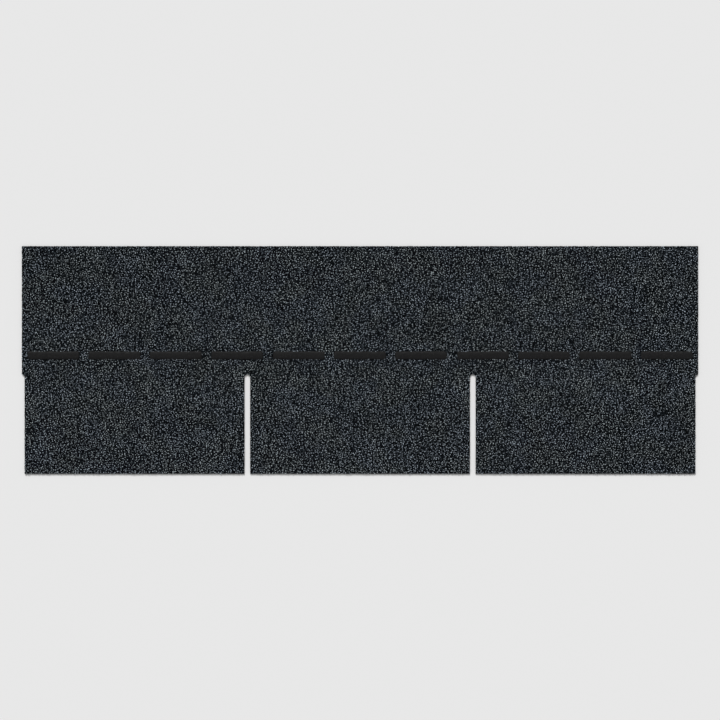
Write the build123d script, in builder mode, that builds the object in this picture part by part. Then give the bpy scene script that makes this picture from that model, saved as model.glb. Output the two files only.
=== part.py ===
from build123d import *

import os

# One three-tab asphalt roofing shingle, lying flat with its mineral face up.
# Millimetres. The origin is under the middle of the sheet, at the level of its back.
# X runs along the strip, -Y points down the roof to the butt edge of the tabs,
# +Y up the roof to the edge of the headlap, and +Z out of the face.

# Sheet
strip_length = 1000.0
tab_count = 3
exposure = 143.0  # depth of the tabs, the part that stays in sight on the roof
headlap = 194.0  # depth that the courses above cover
sheet_thickness = 3.0

# Cutouts that part the tabs; the strip's two ends are cut as half of one
cutout_width = 8.0

# Self-seal adhesive: a broken line of low bars across the face of the headlap
nailing_band = 22.0  # bare face between the cutouts' round ends and the bars
seal_width = 12.7
seal_bar_length = 78.0
seal_bar_gap = 12.7
seal_height = 0.8
seal_corner_radius = 3.0
seal_crown_radius = 0.3

# Release film, pressed flush into the back behind the adhesive
film_margin = 12.5  # on each side of the adhesive's width
film_thickness = 0.1

# Derived sizes and places
strip_depth = exposure + headlap
butt_y = -strip_depth / 2
tab_pitch = strip_length / tab_count
cutout_depth = exposure + cutout_width / 2  # straight up to the exposure line, then round
seal_y = butt_y + cutout_depth + nailing_band + seal_width / 2
seal_bar_pitch = seal_bar_length + seal_bar_gap
seal_bar_count = int((strip_length + seal_bar_gap) // seal_bar_pitch)
film_width = seal_width + 2 * film_margin


# Sheet: one piece, with its cutouts open at the butt edge and the film's seat in its back
with BuildPart() as shingle_sheet:
    with BuildSketch(Plane.XY):
        Rectangle(strip_length, strip_depth)
        with Locations((0, butt_y)):
            with GridLocations(tab_pitch, 1, tab_count + 1, 1):
                SlotOverall(2 * cutout_depth, cutout_width, rotation=90, mode=Mode.SUBTRACT)
    extrude(amount=sheet_thickness)
    with BuildSketch(Plane.XY):
        with Locations((0, seal_y)):
            Rectangle(strip_length, film_width)
    extrude(amount=film_thickness, mode=Mode.SUBTRACT)

# Adhesive: bars with rounded corners and a softened upper rim, on the sheet's face
with BuildPart() as sealant_strip:
    with BuildSketch(Plane.XY.offset(sheet_thickness)):
        with Locations((0, seal_y)):
            with GridLocations(seal_bar_pitch, 1, seal_bar_count, 1):
                RectangleRounded(seal_bar_length, seal_width, seal_corner_radius)
    extrude(amount=seal_height)
    crown_rims = sealant_strip.edges().group_by(Axis.Z)[-1]
    fillet(crown_rims, seal_crown_radius)

# Release film: fills its seat, level with the sheet's back
with BuildPart() as release_film:
    with BuildSketch(Plane.XY):
        with Locations((0, seal_y)):
            Rectangle(strip_length, film_width)
    extrude(amount=film_thickness)


shingle_sheet.part.label = "shingle_sheet"
sealant_strip.part.label = "sealant_strip"
release_film.part.label = "release_film"

os.makedirs("parts", exist_ok=True)
export_step(shingle_sheet.part, "parts/shingle_sheet.step")
export_step(sealant_strip.part, "parts/sealant_strip.step")
export_step(release_film.part, "parts/release_film.step")
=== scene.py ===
import math

import bpy
import numpy as np
from bpy.props import FloatProperty, FloatVectorProperty, IntProperty, PointerProperty
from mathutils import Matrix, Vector
from mathutils.geometry import delaunay_2d_cdt, tessellate_polygon


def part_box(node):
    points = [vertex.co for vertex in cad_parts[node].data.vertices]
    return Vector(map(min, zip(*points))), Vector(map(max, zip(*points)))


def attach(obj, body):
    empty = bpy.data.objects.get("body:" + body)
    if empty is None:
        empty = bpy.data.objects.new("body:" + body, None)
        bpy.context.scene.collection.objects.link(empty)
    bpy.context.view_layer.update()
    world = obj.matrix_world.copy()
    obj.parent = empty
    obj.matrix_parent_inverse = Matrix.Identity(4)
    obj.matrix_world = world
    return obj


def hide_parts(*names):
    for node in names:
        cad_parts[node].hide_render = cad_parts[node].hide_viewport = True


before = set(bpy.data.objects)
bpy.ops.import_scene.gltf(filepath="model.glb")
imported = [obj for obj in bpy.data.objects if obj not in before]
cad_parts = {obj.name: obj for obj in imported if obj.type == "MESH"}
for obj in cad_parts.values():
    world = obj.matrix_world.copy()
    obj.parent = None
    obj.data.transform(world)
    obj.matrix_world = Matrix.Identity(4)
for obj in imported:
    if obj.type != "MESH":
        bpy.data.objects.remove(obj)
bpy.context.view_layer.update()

bl_info = {
    "name": "Three-Tab Asphalt Shingle",
    "version": (1, 0, 0),
    "blender": (4, 5, 0),
    "location": "View3D > Sidebar > Shingle",
    "description": "Builds a mineral-surfaced strip shingle: sheet, granules, adhesive and film",
    "category": "Object",
}

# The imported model's places, in metres. X runs along the strip, -Y points at the butt edge
# of the tabs, +Y at the edge of the headlap, and +Z out of the mineral face.
SHEET_LOW, SHEET_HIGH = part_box("shingle_sheet")
BARS_LOW, BARS_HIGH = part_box("sealant_strip")
FILM_LOW, FILM_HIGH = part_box("release_film")
HALF_LENGTH = SHEET_HIGH.x
HALF_DEPTH = SHEET_HIGH.y
BUTT_Y = SHEET_LOW.y
FACE_Z = SHEET_HIGH.z
BODY = "root"
MM = 0.001

# The mesh attributes that the granules' material reads, and the map its bake is laid out by
TONE = "granule_tone"
GLOSS = "granule_gloss"
BAKE_MAP = "OFBake"


def colour(label, description, default):
    """A colour that a user can set."""
    return FloatVectorProperty(
        name=label, description=description, default=default, min=0, max=1, size=3, subtype="COLOR"
    )


def length(label, description, default):
    """A length that a user can set, in metres."""
    return FloatProperty(name=label, description=description, default=default, unit="LENGTH")


class SheetSettings(bpy.types.PropertyGroup):
    """The asphalt sheet: its tabs, its cut edges and its colours"""

    tab_count: IntProperty(name="Tabs", description="Tabs along the strip", default=3, min=1)
    exposure: length(
        "Exposure", "Depth of the tabs, to where the cutouts' sides end", 143 * MM
    )
    cutout_width: length("Cutout Width", "Width of the slots between the tabs", 8 * MM)
    coating_depth: length(
        "Coating Depth", "How far the asphalt lies below the granules' tops", 0.6 * MM
    )
    edge_inset: length(
        "Edge Inset", "How far the cut asphalt lies inside the granules' outline", 0.35 * MM
    )
    edge_tear: length("Edge Tear", "How far the cut edge wanders in and out", 0.22 * MM)
    asphalt: colour("Asphalt", "Colour of the bare asphalt", (0.0070, 0.0070, 0.0075))
    fibre: colour("Fibre", "Colour of fibre ends in the cut edges", (0.130, 0.120, 0.100))
    dust: colour("Back Dust", "Colour of the dust pressed into the back", (0.190, 0.186, 0.176))


class GranuleSettings(bpy.types.PropertyGroup):
    """The mineral granules pressed into the face"""

    spacing: length("Spacing", "Mean distance between the raised granules", 1.55 * MM)
    reach: length("Reach", "Mean distance from a granule's middle to its corners", 0.92 * MM)
    fines_width: length("Fines Width", "Width of the fine granules between", 1.1 * MM)
    scatter: FloatProperty(
        name="Scatter",
        description="How far a granule strays from even rows, as a share of the spacing",
        default=0.34,
        subtype="FACTOR",
    )
    flatness: FloatProperty(
        name="Flatness",
        description="Height of a granule as a share of its natural height",
        default=0.70,
        subtype="FACTOR",
    )
    evenness: FloatProperty(
        name="Evenness",
        description="How far light granules are kept apart, from chance at 0",
        default=0.8,
        subtype="FACTOR",
    )
    tumble: FloatProperty(
        name="Tumble",
        description="How freely the granules lie, from broad side up at 0 to any side up at 1",
        default=0.35,
        subtype="FACTOR",
    )
    blunting: FloatProperty(
        name="Blunting",
        description="How much of a granule's height is pressed nearly flat, on average",
        default=0.2,
        subtype="FACTOR",
    )
    sinking: length("Sinking", "How far the deepest granules are pressed in", 0.35 * MM)
    dark: colour("Dark", "Colour of the darkest granules", (0.0010, 0.0014, 0.0019))
    middle: colour("Charcoal", "Colour of the granules between", (0.0235, 0.0313, 0.0395))
    light: colour("Light", "Colour of the few lightest granules", (0.520, 0.588, 0.642))


class AdhesiveSettings(bpy.types.PropertyGroup):
    """The self-seal adhesive, and the film on the back behind it"""

    bar_count: IntProperty(name="Bars", description="Bars along the strip", default=11, min=2)
    bar_gap: length("Bar Gap", "Bare length between two bars", 12.7 * MM)
    corner_radius: length("Corner Radius", "Radius of a bar's corners in plan", 3 * MM)
    end_wander: length("End Wander", "How far a bar's end may fall short", 1.3 * MM)
    adhesive: colour("Adhesive", "Colour of the adhesive", (0.0060, 0.0060, 0.0063))
    film: colour("Film", "Colour of clear film over black asphalt", (0.028, 0.029, 0.031))


class StageSettings(bpy.types.PropertyGroup):
    """The floor, the light and the camera"""

    floor: colour("Floor", "Colour of the floor and of what shows above it", (0.8, 0.8, 0.8))
    key_strength: FloatProperty(
        name="Key Strength",
        description="Light of the soft key on a surface that faces it",
        default=2.75,
        min=0,
    )
    key_elevation: FloatProperty(
        name="Key Elevation",
        description="Height of the soft key above the horizon",
        default=math.radians(42),
        subtype="ANGLE",
    )
    sky: FloatProperty(
        name="Sky", description="Strength of the even light from all round", default=0.42, min=0
    )
    lens: FloatProperty(name="Lens", description="Focal length in millimetres", default=85.0)
    margin: FloatProperty(
        name="Margin",
        description="Clear floor beside the strip, as a share of the picture's width",
        default=0.03,
        subtype="FACTOR",
    )


class ShingleSettings(bpy.types.PropertyGroup):
    """All sizes and colours of the shingle and its stage"""

    sheet: PointerProperty(type=SheetSettings)
    granules: PointerProperty(type=GranuleSettings)
    adhesive: PointerProperty(type=AdhesiveSettings)
    stage: PointerProperty(type=StageSettings)


# Plan of the sheet

def cutout_places(sheet):
    """The middle of each cutout along the strip; the first and last are the strip's ends."""
    return np.linspace(-HALF_LENGTH, HALF_LENGTH, sheet.tab_count + 1)


def depth_inside(x, y, sheet):
    """How far points lie inside the sheet's outline, below 0 outside it or in a cutout."""
    depth = np.minimum(HALF_LENGTH - np.abs(x), HALF_DEPTH - np.abs(y))
    past_straight = np.maximum(y - (BUTT_Y + sheet.exposure), 0)
    for place in cutout_places(sheet):
        beside_cutout = np.hypot(x - place, past_straight) - sheet.cutout_width / 2
        depth = np.minimum(depth, beside_cutout)
    return depth


def straight(start, end, step):
    """Even points from start up to, but not at, end."""
    start, end = np.array(start), np.array(end)
    count = max(1, round(float(np.hypot(*(end - start))) / step))
    return start + (end - start) * (np.arange(count) / count)[:, None]


def arc(centre, radius, from_angle, to_angle, step):
    """Even points along an arc, up to but not at its end."""
    count = max(3, round(abs(to_angle - from_angle) * radius / step))
    angle = from_angle + (to_angle - from_angle) * np.arange(count) / count
    return np.array(centre) + radius * np.stack([np.cos(angle), np.sin(angle)], 1)


def sheet_outline(sheet, step):
    """The sheet's outline as one counterclockwise loop of points, from the first tab's corner."""
    radius = sheet.cutout_width / 2
    sides_end = BUTT_Y + sheet.exposure
    places = cutout_places(sheet)
    runs = []
    for tab in range(sheet.tab_count):
        left, right = places[tab] + radius, places[tab + 1] - radius
        if tab > 0:
            runs.append(straight((left, sides_end), (left, BUTT_Y), step))
        runs.append(straight((left, BUTT_Y), (right, BUTT_Y), step))
        runs.append(straight((right, BUTT_Y), (right, sides_end), step))
        end_angle = 0 if tab < sheet.tab_count - 1 else math.pi / 2
        runs.append(arc((places[tab + 1], sides_end), radius, math.pi, end_angle, step))
    shoulder = sides_end + radius
    runs.append(straight((HALF_LENGTH, shoulder), (HALF_LENGTH, HALF_DEPTH), step))
    runs.append(straight((HALF_LENGTH, HALF_DEPTH), (-HALF_LENGTH, HALF_DEPTH), step))
    runs.append(straight((-HALF_LENGTH, HALF_DEPTH), (-HALF_LENGTH, shoulder), step))
    runs.append(arc((-HALF_LENGTH, sides_end), radius, math.pi / 2, 0, step))
    left = radius - HALF_LENGTH
    runs.append(straight((left, sides_end), (left, BUTT_Y), step))
    return np.concatenate(runs)


def outward(loop):
    """Unit vectors that point out of a counterclockwise loop, one for each of its points."""
    along = np.roll(loop, -1, 0) - np.roll(loop, 1, 0)
    along /= np.linalg.norm(along, axis=1, keepdims=True)
    return np.stack([along[:, 1], -along[:, 0]], 1)


def wander(points, cell, seed):
    """Smooth random values between -1 and 1 over a plan, changing over about one cell."""
    side = 256
    lattice = np.random.default_rng(seed).uniform(-1, 1, (side, side))
    whole = np.floor(points / cell).astype(int)
    part = points / cell - whole
    across, up = (part**2 * (3 - 2 * part)).T

    def corner(right, above):
        return lattice[(whole[:, 0] + right) % side, (whole[:, 1] + above) % side]

    lower = corner(0, 0) * (1 - across) + corner(1, 0) * across
    upper = corner(0, 1) * (1 - across) + corner(1, 1) * across
    return lower * (1 - up) + upper * up


# Pieces

def new_piece(name, mesh, slot, *nodes):
    """An object for a finished mesh, riding on the shingle's one body."""
    piece = bpy.data.objects.new(name, mesh)
    bpy.context.scene.collection.objects.link(piece)
    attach(piece, BODY)
    if nodes:
        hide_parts(*nodes)
    return piece


def mesh_from(name, places, corners):
    """A flat-shaded mesh of triangles from arrays of places and of corner numbers."""
    mesh = bpy.data.meshes.new(name)
    mesh.vertices.add(len(places))
    mesh.vertices.foreach_set("co", places.astype(np.float32).ravel())
    mesh.loops.add(corners.size)
    mesh.loops.foreach_set("vertex_index", corners.astype(np.int32).ravel())
    mesh.polygons.add(len(corners))
    mesh.polygons.foreach_set("loop_start", np.arange(0, corners.size, 3, dtype=np.int32))
    mesh.update(calc_edges=True)
    mesh.shade_flat()
    return mesh


def sheet_plan(sheet):
    """The plan of the sheet's flat faces: points, the outline's first, and triangles."""
    outline_step, inner_step, seat_lip, shake = 1.6 * MM, 9 * MM, 0.4 * MM, 0.3
    rng = np.random.default_rng(11)
    loop = sheet_outline(sheet, outline_step)
    grid = np.stack(
        np.meshgrid(
            np.arange(-HALF_LENGTH, HALF_LENGTH, inner_step),
            np.arange(BUTT_Y, HALF_DEPTH, inner_step),
        ),
        -1,
    ).reshape(-1, 2)
    grid += rng.uniform(-shake, shake, grid.shape) * inner_step
    seat_edges = np.array(
        [FILM_LOW.y - seat_lip, FILM_LOW.y, FILM_HIGH.y, FILM_HIGH.y + seat_lip]
    )
    off_edges = np.abs(grid[:, 1:] - seat_edges).min(1) > inner_step / 3
    grid = grid[off_edges & (depth_inside(*grid.T, sheet) > inner_step / 2)]
    along = np.arange(inner_step / 2 - HALF_LENGTH, HALF_LENGTH - inner_step / 3, inner_step)
    seat = np.stack(np.meshgrid(along, seat_edges), -1).reshape(-1, 2)
    points = np.concatenate([loop, grid, seat])
    around = [list(range(len(loop)))]
    found = delaunay_2d_cdt([Vector(p) for p in points], [], around, 1, 1e-7)
    places, triangles, sources = found[0], found[2], found[3]
    number = np.array([source[0] for source in sources])
    assert len(places) == len(points)
    return points, len(loop), number[np.array(triangles)]


def sheet_mesh(sheet):
    """The asphalt sheet: a closed mesh with torn cut edges and a seat for the film in its back."""
    points, rim, triangles = sheet_plan(sheet)
    loop = points[:rim]
    out = outward(loop)
    row_count, broken_arris, seat_clearance = 5, 0.15 * MM, 0.02 * MM
    face_swell, back_swell = 0.05 * MM, 0.04 * MM
    top_z = FACE_Z - sheet.coating_depth
    rows = []
    for i, level in enumerate(np.linspace(0, top_z, row_count)):
        tear = 0.6 * wander(loop, 3.1 * MM, 20 + i) + 0.4 * wander(loop, 1.1 * MM, 40 + i)
        inset = sheet.edge_inset + sheet.edge_tear * tear
        rows.append(np.c_[loop - out * inset[:, None], np.full(rim, level)])
    rows[0] += np.c_[-out, np.ones(rim)] * broken_arris
    inner = points[rim:]
    face = np.c_[inner, top_z + face_swell * wander(inner, 22 * MM, 3)]
    in_seat = (inner[:, 1] >= FILM_LOW.y) & (inner[:, 1] <= FILM_HIGH.y)
    sand = back_swell * (1 + wander(inner, 9 * MM, 4))
    back = np.c_[inner, np.where(in_seat, FILM_HIGH.z + seat_clearance, sand)]
    places = np.concatenate([*rows, face, back])

    here = np.arange(rim)
    after = (here + 1) % rim
    walls = []
    for i in range(row_count - 1):
        low, high = i * rim, (i + 1) * rim
        walls.append(np.stack([low + here, low + after, high + after], 1))
        walls.append(np.stack([low + here, high + after, high + here], 1))
    walls = np.concatenate(walls)
    face_start = row_count * rim
    back_start = face_start + len(inner)
    on_face = np.where(
        triangles < rim, triangles + (row_count - 1) * rim, triangles - rim + face_start
    )
    on_back = np.where(triangles < rim, triangles, triangles - rim + back_start)[:, ::-1]
    mesh = mesh_from("asphalt_sheet", places, np.concatenate([on_face, walls, on_back]))
    parts = np.repeat([0, 1, 2], [len(on_face), len(walls), len(on_back)])
    mesh.polygons.foreach_set("material_index", parts.astype(np.int32))
    lay_out_sheet_for_bake(mesh, places, on_face, on_back, loop, row_count - 1)
    return mesh


def lay_out_sheet_for_bake(mesh, places, on_face, on_back, loop, wall_rows):
    """Maps the sheet for its bake: the face, the back over it, and the cut edge in long lines."""
    scale, border = 0.98 / (2 * HALF_LENGTH), 0.01
    spare, line_height, line_step = 0.004, 0.010, 0.016
    depth = 2 * HALF_DEPTH * scale
    flat = (places[:, :2] + [HALF_LENGTH, HALF_DEPTH]) * scale + border
    stride = np.linalg.norm(np.roll(loop, -1, 0) - loop, axis=1)
    run = np.cumsum(stride) - stride
    line_length = 2 * HALF_LENGTH - stride.max()
    line = np.floor(run / line_length)
    start_u = (run - line * line_length) * scale + border
    end_u = start_u + stride * scale
    base_v = border + 2 * (depth + spare) + line * line_step
    walls = []
    for i in range(wall_rows):
        low_v = base_v + line_height * i / wall_rows
        high_v = low_v + line_height / wall_rows
        low_start, low_end = np.stack([start_u, low_v], 1), np.stack([end_u, low_v], 1)
        high_start, high_end = np.stack([start_u, high_v], 1), np.stack([end_u, high_v], 1)
        walls.append(np.stack([low_start, low_end, high_end], 1))
        walls.append(np.stack([low_start, high_end, high_start], 1))
    above_face = flat[on_back] + [0, depth + spare]
    keep_map(mesh, np.concatenate([flat[on_face], *walls, above_face]))


def keep_map(mesh, uv):
    """Stores the map that the piece's bake is laid out by."""
    layer = mesh.uv_layers.new(name=BAKE_MAP)
    layer.uv.foreach_set("vector", uv.astype(np.float32).ravel())


def mixed_tones(shape, evenness, rng):
    """Tones from 0 to 1 in equal shares, set so that the light granules don't clump."""
    rounds, weight_of_light = 2, 6
    beside = ((0, 1), (0, -1), (1, 0), (-1, 0), (1, 1), (1, -1), (-1, 1), (-1, -1))
    tones = rng.uniform(0, 1, shape)
    for _ in range(rounds):
        felt = tones**weight_of_light
        near = sum(np.roll(felt, step, (0, 1)) for step in beside) / len(beside)
        order = np.argsort((tones - evenness * near).ravel())
        tones = np.empty(tones.size)
        tones[order] = (np.arange(tones.size) + 0.5) / tones.size
        tones = tones.reshape(shape)
    return tones


def granule_places(sheet, granules):
    """The middles and tones of all granules: shaken rows of a triangular grid."""
    rng = np.random.default_rng(5)
    columns = np.arange(-HALF_LENGTH, HALF_LENGTH, granules.spacing)
    rows = np.arange(BUTT_Y, HALF_DEPTH, granules.spacing * math.sqrt(3) / 2)
    x, y = np.meshgrid(columns, rows)
    x[1::2] += granules.spacing / 2
    middles = np.stack([x.ravel(), y.ravel()], 1)
    middles += rng.uniform(-1, 1, middles.shape) * granules.scatter * granules.spacing
    tones = mixed_tones(x.shape, granules.evenness, rng).ravel()
    least_inside = granules.reach * 0.3
    inside = depth_inside(*middles.T, sheet) > least_inside
    return middles[inside], tones[inside]


def pull_inside(places, sheet):
    """Moves what reaches over the cut line straight back onto it."""
    nudge = 0.01 * MM
    depth = depth_inside(places[:, 0], places[:, 1], sheet)
    over = np.flatnonzero(depth < 0)
    x, y = places[over, 0], places[over, 1]
    to_right = depth_inside(x + nudge, y, sheet) - depth_inside(x - nudge, y, sheet)
    upward = depth_inside(x, y + nudge, sheet) - depth_inside(x, y - nudge, sheet)
    steepness = np.maximum(np.hypot(to_right, upward), 1e-9)
    places[over, 0] -= depth[over] * to_right / steepness
    places[over, 1] -= depth[over] * upward / steepness


def pressed_in(heights, sheet, granules, rng):
    """The corners' heights of chips, their tops pressed nearly flat, their feet in the asphalt."""
    count, slope_left = len(heights), 0.2
    foothold = FACE_Z - sheet.coating_depth - 0.1 * MM
    deepest = FACE_Z * 2 / 3
    top = (FACE_Z - granules.sinking * rng.uniform(0, 1, count) ** 2)[:, None]
    peak = heights.max(1, keepdims=True)
    tall = peak - heights.min(1, keepdims=True)
    flattened = granules.blunting * rng.uniform(0.4, 1.6, (count, 1)) * tall
    depth = peak - flattened - heights
    depth[depth < 0] *= slope_left
    depth -= depth.min(1, keepdims=True)
    depth *= np.maximum((top - foothold) / depth.max(1, keepdims=True), 1)
    return np.maximum(top - depth, FACE_Z - deepest)


def granule_mesh(name, middles, tones, sheet, granules, seed):
    """Crushed stone: irregular chips, most with their broad side up, pressed in to one level."""
    rng = np.random.default_rng(seed)
    count = len(middles)
    least_reach, most_reach, stray = 0.85, 1.15, 0.22
    smallest, largest = 0.78, 1.22
    even = np.array([[1, 0, 0], [0, 1, 0], [-1, 0, 0], [0, -1, 0], [0, 0, -1.1]])
    chips = even * rng.uniform(least_reach, most_reach, (count, len(even), 1))
    chips += rng.uniform(-stray, stray, chips.shape)
    turn = rng.normal(size=(count, 1, 4)) * [1, granules.tumble, granules.tumble, 1]
    turn /= np.linalg.norm(turn, axis=2, keepdims=True)
    axis, half_cosine = turn[:, :, 1:], turn[:, :, :1]
    across = np.cross(axis, chips)
    chips += 2 * (half_cosine * across + np.cross(axis, across))
    chips *= granules.reach * rng.uniform(smallest, largest, (count, 1, 1))
    chips[:, :, 2] *= granules.flatness
    chips[:, :, 2] = pressed_in(chips[:, :, 2], sheet, granules, rng)
    plan = chips[:, :, :2].copy()
    chips[:, :, :2] += middles[:, None]
    places = chips.reshape(-1, 3)
    pull_inside(places, sheet)
    sides = np.array([[0, 1, 2], [0, 2, 3], [1, 0, 4], [2, 1, 4], [3, 2, 4], [0, 3, 4]])
    corners = (np.arange(count)[:, None, None] * len(even) + sides).reshape(-1, 3)
    mesh = mesh_from(name, places, corners)
    for label, values in ((TONE, tones), (GLOSS, rng.uniform(0, 1, count))):
        kept = mesh.attributes.new(label, "FLOAT", "POINT")
        kept.data.foreach_set("value", np.repeat(values, len(even)).astype(np.float32))
    mesh.shade_smooth()
    lay_out_chips_for_bake(mesh, plan, corners)
    return mesh


def lay_out_chips_for_bake(mesh, plan, corners):
    """Gives each chip a square of its own on the piece's map, where it lies as seen from above."""
    count = len(plan)
    side = math.ceil(math.sqrt(count))
    square = np.stack([np.arange(count) % side, np.arange(count) // side], 1) + 0.5
    widest = np.abs(plan).max(axis=(1, 2), keepdims=True)
    half_filled = 0.42
    spot = square[:, None] + plan / widest * half_filled
    keep_map(mesh, (spot / side).reshape(-1, 2)[corners.ravel()])


def downward(loop):
    """Triangles that close a counterclockwise loop of places from below."""
    found = np.array(tessellate_polygon([[Vector((x, y, 0)) for x, y in loop[:, :2]]]))
    across = loop[found][:, :, :2]
    first, second = across[:, 1] - across[:, 0], across[:, 2] - across[:, 0]
    upward = first[:, 0] * second[:, 1] > first[:, 1] * second[:, 0]
    found[upward] = found[upward][:, ::-1]
    return found


def bar_mesh(sheet, adhesive):
    """The adhesive bars: low closed beads with rounded corners, soft crowns and uneven rims."""
    gap, radius = adhesive.bar_gap, adhesive.corner_radius
    pitch = (BARS_HIGH.x - BARS_LOW.x + gap) / adhesive.bar_count
    half, half_width = (pitch - gap) / 2, (BARS_HIGH.y - BARS_LOW.y) / 2
    middle_y = (BARS_HIGH.y + BARS_LOW.y) / 2
    foot_z = FACE_Z - sheet.coating_depth - 0.15 * MM
    height, rim_height = BARS_HIGH.z - foot_z, 0.3 * MM
    end_columns, inner_columns, row_count = 5, 26, 9
    broad_cell, fine_cell = 7 * MM, 2.4 * MM
    ends = half - radius * (1 - np.cos(np.linspace(0, math.pi / 2, end_columns)))
    inner = np.linspace(0, half - radius, inner_columns)[:-1]
    along = np.unique(np.concatenate([inner, -inner, ends, -ends]).round(7))
    across = np.sin(np.linspace(-math.pi / 2, math.pi / 2, row_count))
    u, v = np.meshgrid(along, across, indexing="ij")
    past_straight = np.maximum(np.abs(u) - (half - radius), 0)
    straight_width = half_width - radius + np.sqrt(np.maximum(radius**2 - past_straight**2, 0))
    fall = 1 - np.clip((half - np.abs(u)) / radius, 0, 1)
    crown = (1 - np.abs(v) ** 4) ** 0.5 * (1 - fall**4) ** 0.5

    grid = np.arange(u.size).reshape(u.shape)
    a, b, c, d = grid[:-1, :-1], grid[1:, :-1], grid[1:, 1:], grid[:-1, 1:]
    loop = np.concatenate([grid[:-1, 0], grid[-1, :-1], grid[:0:-1, -1], grid[0, :0:-1]])
    foot = u.size + np.arange(len(loop))
    after, foot_after = np.roll(loop, -1), np.roll(foot, -1)
    shared = [(a, b, c), (a, c, d), (foot, foot_after, after), (foot, after, loop)]
    shared = np.concatenate([np.stack(three, -1).reshape(-1, 3) for three in shared])

    rng = np.random.default_rng(17)
    places, corners = [], []
    for i in range(adhesive.bar_count):
        start, end = rng.uniform(0, adhesive.end_wander, 2)
        x = BARS_LOW.x + i * pitch + start + (u + half) * (1 - (start + end) / (2 * half))
        here = np.c_[x.ravel(), (v * half_width).ravel()]
        broad = 1 + wander(here, broad_cell, 60).reshape(u.shape)
        fine = 1 + wander(here, fine_cell, 60).reshape(u.shape)
        y = middle_y + v * straight_width * (1 - 0.030 * broad - 0.016 * fine)
        z = foot_z + height * crown * (1 - 0.07 * broad - 0.035 * fine)
        bar = np.stack([x, y, np.maximum(z, foot_z + rim_height)], -1).reshape(-1, 3)
        under = bar[loop] * [1, 1, 0] + [0, 0, foot_z]
        closing = u.size + downward(under)
        corners.append(np.concatenate([shared, closing]) + sum(len(bar) for bar in places))
        places.append(np.concatenate([bar, under]))
    mesh = mesh_from("adhesive_bars", np.concatenate(places), np.concatenate(corners))
    mesh.shade_smooth()
    return mesh


# Materials

def new_material(name):
    """A node material, with its tree and its Principled shader."""
    material = bpy.data.materials.new(name)
    material.use_nodes = True
    return material, material.node_tree, material.node_tree.nodes["Principled BSDF"]


def add_node(tree, kind, inputs=(), **settings):
    """A node beside the last one. inputs maps an input's name or number to a value or a feed."""
    node = tree.nodes.new(kind)
    node.location = (220 * len(tree.nodes), 0)
    for name, value in settings.items():
        setattr(node, name, value)
    for key, value in dict(inputs).items():
        if isinstance(value, bpy.types.NodeSocket):
            tree.links.new(value, node.inputs[key])
        else:
            node.inputs[key].default_value = value
    return node


def mix(tree, factor, first, second, blend="MIX"):
    """A mix of two colours; each of the three may be a value or an output."""
    inputs = {0: factor, 6: first, 7: second}
    return add_node(
        tree, "ShaderNodeMix", inputs, data_type="RGBA", blend_type=blend
    ).outputs[2]


def between(tree, value, low, high, to_low=0.0, to_high=1.0):
    """A value taken smoothly from the range low to high to another range, and held there."""
    inputs = {0: value, 1: low, 2: high, 3: to_low, 4: to_high}
    return add_node(
        tree, "ShaderNodeMapRange", inputs, interpolation_type="SMOOTHSTEP"
    ).outputs[0]


def math_node(tree, operation, first, second):
    """The result of one sum of two values or outputs."""
    return add_node(tree, "ShaderNodeMath", {0: first, 1: second}, operation=operation).outputs[0]


def solid(rgb):
    """A colour with full alpha."""
    return (*rgb, 1.0)


def group(name, inputs, outputs):
    """A new shader node group: its tree, its inputs' sockets and its output node."""
    tree = bpy.data.node_groups.new(name, "ShaderNodeTree")
    for label, kind, default in inputs:
        tree.interface.new_socket(label, in_out="INPUT", socket_type=kind).default_value = default
    for label, kind in outputs:
        tree.interface.new_socket(label, in_out="OUTPUT", socket_type=kind)
    return tree, add_node(tree, "NodeGroupInput").outputs, add_node(tree, "NodeGroupOutput")


def turned_place(tree):
    """Places on the object, turned so that no noise lies along the sheet's flat faces."""
    place = add_node(tree, "ShaderNodeTexCoord").outputs["Object"]
    turn = {0: place, "Location": (0.31, 0.17, 0.23), "Rotation": (0.6, 0.4, 0.9)}
    return add_node(tree, "ShaderNodeMapping", turn).outputs[0]


def clouding_group():
    """Broad soft patches where a surface runs lighter or darker, bluer or more olive."""
    tree, given, leave = group(
        "Clouding",
        (
            ("Color", "NodeSocketColor", (0.5, 0.5, 0.5, 1)),
            ("Patches per Metre", "NodeSocketFloat", 25.0),
            ("Shade", "NodeSocketFloat", 0.3),
            ("Tint", "NodeSocketFloat", 0.3),
        ),
        (("Color", "NodeSocketColor"),),
    )
    place = turned_place(tree)
    scale = given["Patches per Metre"]
    patch = add_node(
        tree, "ShaderNodeTexNoise", {"Vector": place, "Scale": scale, "Detail": 3.0}
    ).outputs["Fac"]
    other_place = add_node(
        tree, "ShaderNodeVectorMath", {0: place, 1: (3.1, 1.7, 0.4)}, operation="ADD"
    ).outputs[0]
    hue = add_node(
        tree, "ShaderNodeTexNoise", {"Vector": other_place, "Scale": scale, "Detail": 1.0}
    ).outputs["Fac"]
    off_middle = math_node(tree, "MULTIPLY", math_node(tree, "SUBTRACT", patch, 0.5), 2.0)
    shade = math_node(tree, "ADD", math_node(tree, "MULTIPLY", off_middle, given["Shade"]), 1.0)
    shaded = add_node(
        tree, "ShaderNodeVectorMath", {0: given["Color"], "Scale": shade}, operation="SCALE"
    ).outputs[0]
    blue, olive = (0.84, 0.94, 1.22, 1), (1.10, 1.06, 0.82, 1)
    tint = mix(tree, between(tree, hue, 0.35, 0.65), blue, olive)
    tree.links.new(mix(tree, given["Tint"], shaded, tint, "MULTIPLY"), leave.inputs["Color"])
    return tree


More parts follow.
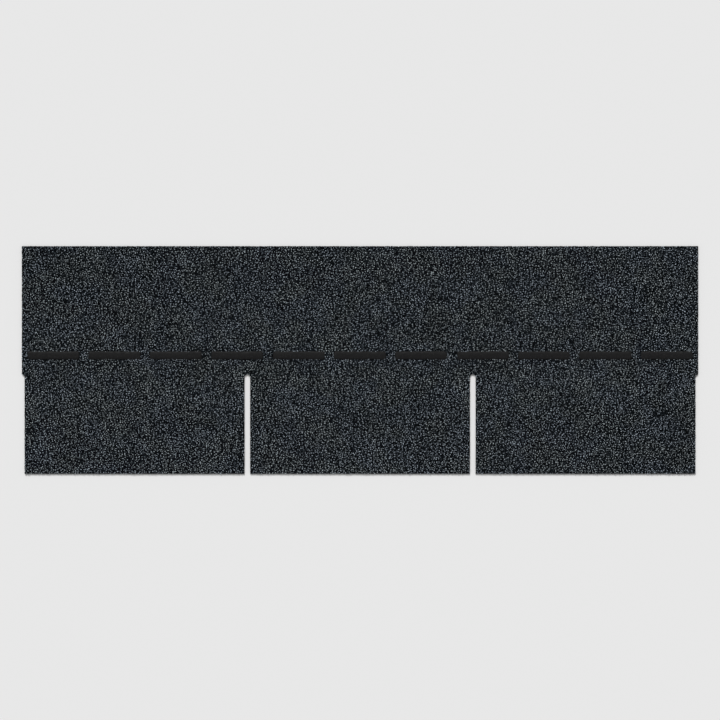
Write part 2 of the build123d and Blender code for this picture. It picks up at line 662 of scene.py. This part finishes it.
def grit_group():
    """Fine random relief, as a height for a bump, and a mask of its highest specks."""
    tree, given, leave = group(
        "Grit",
        (("Grains per Metre", "NodeSocketFloat", 1500.0),),
        (("Height", "NodeSocketFloat"), ("Specks", "NodeSocketFloat")),
    )
    place = turned_place(tree)
    inputs = {"Vector": place, "Scale": given["Grains per Metre"], "Detail": 2.0}
    grain = add_node(tree, "ShaderNodeTexNoise", inputs).outputs["Fac"]
    tree.links.new(grain, leave.inputs["Height"])
    tree.links.new(between(tree, grain, 0.56, 0.72), leave.inputs["Specks"])
    return tree


def use_group(tree, name, **inputs):
    """A group placed in a tree with its own values; underscores stand for spaces."""
    named = {key.replace("_", " "): value for key, value in inputs.items()}
    node = add_node(tree, "ShaderNodeGroup", node_tree=bpy.data.node_groups[name])
    for key, value in named.items():
        if isinstance(value, bpy.types.NodeSocket):
            tree.links.new(value, node.inputs[key])
        else:
            node.inputs[key].default_value = value
    return node.outputs


def bump(tree, shader, height, distance, strength=1.0):
    """Gives a shader relief from a height."""
    inputs = {"Height": height, "Distance": distance, "Strength": strength}
    made = add_node(tree, "ShaderNodeBump", inputs)
    tree.links.new(made.outputs["Normal"], shader.inputs["Normal"])


def blend_group(granules):
    """The granules' colours: dark, charcoal and a few light ones, picked by an even tone."""
    tree, given, leave = group(
        "Granule Blend",
        (("Tone", "NodeSocketFloat", 0.5), ("Lightest From", "NodeSocketFloat", 0.73)),
        (("Color", "NodeSocketColor"),),
    )
    dark_below, full_charcoal, past_lightest = 0.34, 0.97, 1.03
    dark_to_middle = between(tree, given["Tone"], dark_below, full_charcoal)
    blend = mix(tree, dark_to_middle, solid(granules.dark), solid(granules.middle))
    lightest = between(tree, given["Tone"], given["Lightest From"], past_lightest)
    blend = mix(tree, lightest, blend, solid(granules.light))
    tree.links.new(blend, leave.inputs["Color"])
    return tree


def granule_material(name, lightest_from, shade):
    """Raised granules, each of one tone, in soft broad patches."""
    material, tree, shader = new_material(name)
    tone = add_node(tree, "ShaderNodeAttribute", attribute_name=TONE).outputs["Fac"]
    gloss = add_node(tree, "ShaderNodeAttribute", attribute_name=GLOSS).outputs["Fac"]
    blend = use_group(tree, "Granule Blend", Tone=tone, Lightest_From=lightest_from)["Color"]
    clouded = use_group(
        tree, "Clouding", Color=blend, Patches_per_Metre=26.0, Shade=shade, Tint=0.17
    )["Color"]
    tree.links.new(clouded, shader.inputs["Base Color"])
    tree.links.new(between(tree, gloss, 0.0, 1.0, 0.55, 0.85), shader.inputs["Roughness"])
    shader.inputs["Specular IOR Level"].default_value = 0.03
    grit = use_group(tree, "Grit", Grains_per_Metre=1300.0)
    bump(tree, shader, grit["Height"], 0.5 * MM, 0.7)
    return material


def fines_group():
    """Fine crushed mineral packed side by side: a tone for each grain, its height, and its gaps."""
    tree, given, leave = group(
        "Fines",
        (("Grains per Metre", "NodeSocketFloat", 900.0),),
        (
            ("Tone", "NodeSocketFloat"),
            ("Height", "NodeSocketFloat"),
            ("Clear of Gaps", "NodeSocketFloat"),
        ),
    )
    inputs = {"Vector": turned_place(tree), "Scale": given["Grains per Metre"]}
    grains = add_node(tree, "ShaderNodeTexVoronoi", inputs).outputs["Color"]
    edges = add_node(tree, "ShaderNodeTexVoronoi", inputs, feature="DISTANCE_TO_EDGE").outputs[0]
    channels = add_node(tree, "ShaderNodeSeparateColor", {0: grains}).outputs
    proud = math_node(tree, "ADD", math_node(tree, "MULTIPLY", channels[1], 0.6), 0.5)
    height = math_node(tree, "MULTIPLY", between(tree, edges, 0.0, 0.35), proud)
    tree.links.new(channels[0], leave.inputs["Tone"])
    tree.links.new(height, leave.inputs["Height"])
    tree.links.new(between(tree, edges, 0.02, 0.10), leave.inputs["Clear of Gaps"])
    return tree


def coating_material(granules):
    """The asphalt between the raised granules, filled with fine ones and black where bare."""
    material, tree, shader = new_material("Coating with fines")
    fines = use_group(tree, "Fines", Grains_per_Metre=1 / granules.fines_width)
    tone = fines["Tone"]
    blend = use_group(tree, "Granule Blend", Tone=tone, Lightest_From=0.88)["Color"]
    shown = mix(tree, fines["Clear of Gaps"], solid(granules.dark), blend)
    clouded = use_group(
        tree, "Clouding", Color=shown, Patches_per_Metre=26.0, Shade=0.45, Tint=0.17
    )["Color"]
    tree.links.new(clouded, shader.inputs["Base Color"])
    tree.links.new(between(tree, tone, 0.0, 1.0, 0.55, 0.85), shader.inputs["Roughness"])
    shader.inputs["Specular IOR Level"].default_value = 0.03
    bump(tree, shader, fines["Height"], 0.35 * MM)
    return material


def cut_edge_material(sheet):
    """Cut asphalt: a rough black face with pale fibre ends about half way up."""
    material, tree, shader = new_material("Cut edge")
    place = add_node(tree, "ShaderNodeTexCoord").outputs["Object"]
    mat_z, full_to, none_from = 1.1 * MM, 0.25 * MM, 0.6 * MM
    height = add_node(tree, "ShaderNodeSeparateXYZ", {0: place}).outputs["Z"]
    off_mid = math_node(tree, "ABSOLUTE", math_node(tree, "SUBTRACT", height, mat_z), 0.0)
    in_mat = between(tree, off_mid, full_to, none_from, 1.0, 0.0)
    grit = use_group(tree, "Grit", Grains_per_Metre=1300.0)
    fibres = math_node(tree, "MULTIPLY", in_mat, grit["Specks"])
    shown = mix(tree, fibres, solid(sheet.asphalt), solid(sheet.fibre))
    tree.links.new(shown, shader.inputs["Base Color"])
    tree.links.new(between(tree, grit["Height"], 0.3, 0.7, 0.5, 0.85), shader.inputs["Roughness"])
    shader.inputs["Specular IOR Level"].default_value = 0.3
    bump(tree, shader, grit["Height"], 0.25 * MM)
    return material


def back_material(sheet):
    """The back: asphalt dusted with fine sand and pale mineral dust, in streaks along the strip."""
    material, tree, shader = new_material("Dusted back")
    place = add_node(tree, "ShaderNodeTexCoord").outputs["Object"]
    drawn_out = add_node(tree, "ShaderNodeMapping", {0: place, "Scale": (0.12, 1, 1)}).outputs[0]
    streak_inputs = {"Vector": drawn_out, "Scale": 90.0, "Detail": 3.0}
    streaks = add_node(tree, "ShaderNodeTexNoise", streak_inputs).outputs["Fac"]
    sand = use_group(tree, "Fines", Grains_per_Metre=1700.0)
    spread = between(tree, streaks, 0.3, 0.7, 0.85, 1.35)
    cover = math_node(tree, "MULTIPLY", sand["Tone"], spread)
    dust = math_node(tree, "MULTIPLY", between(tree, cover, 0.25, 1.15), sand["Clear of Gaps"])
    shown = mix(tree, dust, solid(sheet.asphalt), solid(sheet.dust))
    clouded = use_group(tree, "Clouding", Color=shown, Patches_per_Metre=12.0, Shade=0.35, Tint=0.2)
    tree.links.new(clouded["Color"], shader.inputs["Base Color"])
    tree.links.new(between(tree, dust, 0.0, 1.0, 0.6, 0.95), shader.inputs["Roughness"])
    shader.inputs["Specular IOR Level"].default_value = 0.3
    bump(tree, shader, sand["Height"], 0.2 * MM)
    return material


def adhesive_material(adhesive):
    """Adhesive asphalt: black, rippled over the granules below, with a little dust caught on it."""
    material, tree, shader = new_material("Seal adhesive")
    place = add_node(tree, "ShaderNodeTexCoord").outputs["Object"]
    ripple = add_node(
        tree, "ShaderNodeTexNoise", {"Vector": place, "Scale": 260.0, "Detail": 3.0}
    ).outputs["Fac"]
    grit = use_group(tree, "Grit", Grains_per_Metre=900.0)
    dusted = [0.045 + channel for channel in adhesive.adhesive]
    specks = math_node(tree, "MULTIPLY", grit["Specks"], 0.35)
    shown = mix(tree, specks, solid(adhesive.adhesive), solid(dusted))
    tree.links.new(shown, shader.inputs["Base Color"])
    tree.links.new(between(tree, ripple, 0.35, 0.65, 0.45, 0.70), shader.inputs["Roughness"])
    shader.inputs["Specular IOR Level"].default_value = 0.10
    below = use_group(tree, "Fines", Grains_per_Metre=520.0)["Height"]
    relief = math_node(tree, "ADD", ripple, math_node(tree, "MULTIPLY", below, 0.4))
    bump(tree, shader, relief, 0.5 * MM, 0.5)
    return material


def film_material(adhesive):
    """Clear film on black asphalt: glossy, lightly creased, hazy in places."""
    material, tree, shader = new_material("Release film")
    place = add_node(tree, "ShaderNodeTexCoord").outputs["Object"]
    drawn_out = add_node(tree, "ShaderNodeMapping", {0: place, "Scale": (0.35, 1, 1)}).outputs[0]
    crease_inputs = {"Vector": drawn_out, "Scale": 120.0, "Detail": 4.0, "Distortion": 0.8}
    creases = add_node(tree, "ShaderNodeTexNoise", crease_inputs).outputs["Fac"]
    hazy = [2.6 * channel for channel in adhesive.film]
    shown = mix(tree, between(tree, creases, 0.5, 0.75), solid(adhesive.film), solid(hazy))
    tree.links.new(shown, shader.inputs["Base Color"])
    tree.links.new(between(tree, creases, 0.3, 0.7, 0.10, 0.28), shader.inputs["Roughness"])
    shader.inputs["Coat Weight"].default_value = 0.6
    shader.inputs["Coat Roughness"].default_value = 0.06
    bump(tree, shader, creases, 0.4 * MM, 0.4)
    return material


def floor_material(stage):
    """A plain pale floor."""
    material, _, shader = new_material("Floor")
    shader.inputs["Base Color"].default_value = solid(stage.floor)
    shader.inputs["Roughness"].default_value = 0.9
    shader.inputs["Specular IOR Level"].default_value = 0.0
    return material


# Operators

class SHINGLE_OT_effects(bpy.types.Operator):
    """Make the node groups that several of the shingle's materials share"""

    bl_idname = "shingle.effects"
    bl_label = "Shared Effects"

    def execute(self, context):
        clouding_group()
        grit_group()
        fines_group()
        blend_group(context.scene.shingle.granules)
        return {"FINISHED"}


class SHINGLE_OT_asphalt_sheet(bpy.types.Operator):
    """Build the asphalt sheet with its cutouts, torn cut edges and dusted back"""

    bl_idname = "shingle.asphalt_sheet"
    bl_label = "Asphalt Sheet"

    def execute(self, context):
        sheet = context.scene.shingle.sheet
        granules = context.scene.shingle.granules
        piece = new_piece("asphalt_sheet", sheet_mesh(sheet), "asphalt", "shingle_sheet")
        piece.data.materials.append(coating_material(granules))
        piece.data.materials.append(cut_edge_material(sheet))
        piece.data.materials.append(back_material(sheet))
        return {"FINISHED"}


class SHINGLE_OT_granules(bpy.types.Operator):
    """Press the mineral granules into the face, in bands across the tabs and the headlap"""

    bl_idname = "shingle.granules"
    bl_label = "Granules"

    def execute(self, context):
        settings = context.scene.shingle
        sheet, granules = settings.sheet, settings.granules
        middles, tones = granule_places(sheet, granules)
        bar_rim = 1.2 * MM
        under_bars = self.under_bars(middles, settings.adhesive, bar_rim)
        middles, tones = middles[~under_bars], tones[~under_bars]
        exposure_y = BUTT_Y + sheet.exposure
        tab_material = granule_material("Tab granules", 0.690, 0.36)
        lap_material = granule_material("Headlap granules", 0.710, 0.30)
        bands = (
            ("tab_granules", BUTT_Y, exposure_y, 3, tab_material),
            ("headlap_granules", exposure_y, HALF_DEPTH, 3, lap_material),
        )
        seed = 100
        for name, low, high, count, material in bands:
            edges = np.linspace(low, high, count + 1)
            for number, (start, end) in enumerate(zip(edges[:-1], edges[1:]), 1):
                seed += 1
                last = end >= HALF_DEPTH - MM
                first = start <= BUTT_Y + MM
                y = middles[:, 1]
                chosen = ((y >= start) | first) & ((y < end) | last)
                label = f"{name}_{number}"
                mesh = granule_mesh(
                    label, middles[chosen], tones[chosen], sheet, granules, seed
                )
                mesh.materials.append(material)
                new_piece(label, mesh, "granules", "shingle_sheet")
        return {"FINISHED"}

    def under_bars(self, middles, adhesive, rim):
        """Which granules lie wholly under an adhesive bar."""
        pitch = (BARS_HIGH.x - BARS_LOW.x + adhesive.bar_gap) / adhesive.bar_count
        along = (middles[:, 0] - BARS_LOW.x) % pitch
        on_line = (middles[:, 1] > BARS_LOW.y + rim) & (middles[:, 1] < BARS_HIGH.y - rim)
        within = np.abs(middles[:, 0]) < BARS_HIGH.x
        return on_line & within & (along > rim) & (along < pitch - adhesive.bar_gap - rim)


class SHINGLE_OT_adhesive(bpy.types.Operator):
    """Build the self-seal adhesive bars, and finish the release film on the back"""

    bl_idname = "shingle.adhesive"
    bl_label = "Adhesive and Film"

    def execute(self, context):
        settings = context.scene.shingle
        mesh = bar_mesh(settings.sheet, settings.adhesive)
        mesh.materials.append(adhesive_material(settings.adhesive))
        new_piece("adhesive_bars", mesh, "adhesive", "sealant_strip")
        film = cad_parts["release_film"]
        film.material_slots[0].material = film_material(settings.adhesive)
        return {"FINISHED"}


class SHINGLE_OT_stage(bpy.types.Operator):
    """Set up the floor, the light from up the roof and the camera straight above"""

    bl_idname = "shingle.stage"
    bl_label = "Stage"

    def execute(self, context):
        stage = context.scene.shingle.stage
        self.add_floor(stage)
        self.add_light(context.scene, stage)
        self.add_camera(context.scene, stage)
        context.scene.view_settings.view_transform = "Standard"
        return {"FINISHED"}

    def add_floor(self, stage):
        """A wide round floor at the level of the shingle's back."""
        radius, sides = 60.0, 96
        angle = np.arange(sides) * 2 * math.pi / sides
        rim = np.stack([np.cos(angle), np.sin(angle), np.zeros(sides)], 1) * radius
        mesh = bpy.data.meshes.new("floor")
        mesh.from_pydata(rim.tolist(), [], [list(range(sides))])
        mesh.materials.append(floor_material(stage))
        floor = bpy.data.objects.new("floor", mesh)
        bpy.context.scene.collection.objects.link(floor)

    def add_light(self, scene, stage):
        """One broad soft key from the headlap's side, and even light from all round."""
        softness, slant = math.radians(24), math.radians(-14)
        lamp = bpy.data.lights.new("key", "SUN")
        lamp.energy = stage.key_strength
        lamp.angle = softness
        key = bpy.data.objects.new("key", lamp)
        flat = math.cos(stage.key_elevation)
        towards = (flat * math.sin(slant), flat * math.cos(slant), math.sin(stage.key_elevation))
        key.location = towards
        key.rotation_mode = "QUATERNION"
        key.rotation_quaternion = Vector(towards).to_track_quat("Z", "Y")
        scene.collection.objects.link(key)

        world = bpy.data.worlds.new("even light")
        world.use_nodes = True
        tree = world.node_tree
        background = tree.nodes["Background"]
        background.inputs["Color"].default_value = (1, 1, 1, 1)
        background.inputs["Strength"].default_value = stage.sky
        backdrop = add_node(
            tree, "ShaderNodeBackground", {"Color": solid(stage.floor), "Strength": 1.0}
        )
        path = add_node(tree, "ShaderNodeLightPath").outputs
        seen = math_node(tree, "MAXIMUM", path["Is Camera Ray"], path["Is Glossy Ray"])
        seen = math_node(tree, "MAXIMUM", seen, path["Is Transmission Ray"])
        inputs = {0: seen, 1: background.outputs[0], 2: backdrop.outputs[0]}
        both = add_node(tree, "ShaderNodeMixShader", inputs)
        tree.links.new(both.outputs[0], tree.nodes["World Output"].inputs["Surface"])
        scene.world = world

    def add_camera(self, scene, stage):
        """A long lens straight above the shingle, with the headlap at the picture's top."""
        data = bpy.data.cameras.new("camera")
        data.lens = stage.lens
        camera = bpy.data.objects.new("camera", data)
        half_view = HALF_LENGTH / (1 - 2 * stage.margin)
        height = half_view * data.lens / (data.sensor_width / 2)
        camera.location = (0, 0, FACE_Z + height)
        data.clip_end = 4 * height
        scene.collection.objects.link(camera)
        scene.camera = camera


class SHINGLE_PT_panel(bpy.types.Panel):
    """The shingle's settings and the steps that build it"""

    bl_label = "Shingle"
    bl_idname = "SHINGLE_PT_panel"
    bl_space_type = "VIEW_3D"
    bl_region_type = "UI"
    bl_category = "Shingle"

    def draw(self, context):
        settings = context.scene.shingle
        for name in ("sheet", "granules", "adhesive", "stage"):
            box = self.layout.box()
            box.label(text=name.capitalize())
            part = getattr(settings, name)
            for prop in part.__annotations__:
                box.prop(part, prop)
        for operator in OPERATORS:
            self.layout.operator(operator.bl_idname)


OPERATORS = (
    SHINGLE_OT_effects,
    SHINGLE_OT_asphalt_sheet,
    SHINGLE_OT_granules,
    SHINGLE_OT_adhesive,
    SHINGLE_OT_stage,
)
CLASSES = (
    SheetSettings,
    GranuleSettings,
    AdhesiveSettings,
    StageSettings,
    ShingleSettings,
    *OPERATORS,
    SHINGLE_PT_panel,
)


def register():
    for item in CLASSES:
        bpy.utils.register_class(item)
    bpy.types.Scene.shingle = PointerProperty(type=ShingleSettings)


def unregister():
    del bpy.types.Scene.shingle
    for item in reversed(CLASSES):
        bpy.utils.unregister_class(item)


def main():
    register()
    bpy.ops.shingle.effects()
    bpy.ops.shingle.asphalt_sheet()
    bpy.ops.shingle.granules()
    bpy.ops.shingle.adhesive()
    bpy.ops.shingle.stage()


if __name__ == "__main__":
    main()
